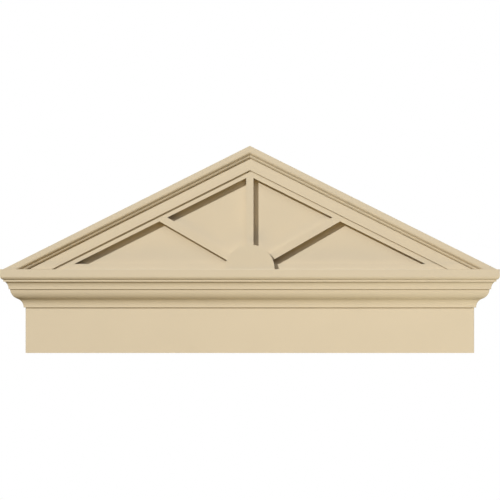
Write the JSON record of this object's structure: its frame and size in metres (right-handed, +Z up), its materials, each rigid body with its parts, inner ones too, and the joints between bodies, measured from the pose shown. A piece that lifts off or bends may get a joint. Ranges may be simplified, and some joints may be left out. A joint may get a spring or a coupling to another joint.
{
  "type": "classical pediment",
  "caption": "Low triangular door or window pediment with a returned crown moulding, a frieze board and a recessed sunburst of spokes and a half-round hub.",
  "frame": {"origin": "middle of the frieze board's back face, on the wall plane", "axes": "+Z up, -Y towards the viewer in front, +Y into the wall, +X to the viewer's right"},
  "size_m": [1.2192, 0.0818, 0.5051],
  "materials": {
    "tan_paint": "smooth satin tan paint on cellular PVC"
  },
  "bodies": {
    "root": {"frieze_board": "tan_paint", "crown_front": "tan_paint", "crown_return_right": "tan_paint", "crown_return_left": "tan_paint", "back_panel": "tan_paint", "rake_cap_right": "tan_paint", "rake_cap_left": "tan_paint", "rake_board_right": "tan_paint", "rake_board_left": "tan_paint", "rake_strap_right": "tan_paint", "rake_strap_left": "tan_paint", "bottom_rail_right": "tan_paint", "bottom_rail_left": "tan_paint", "spoke_centre": "tan_paint", "spoke_right": "tan_paint", "spoke_left": "tan_paint", "hub": "tan_paint"}
  },
  "joints": []
}
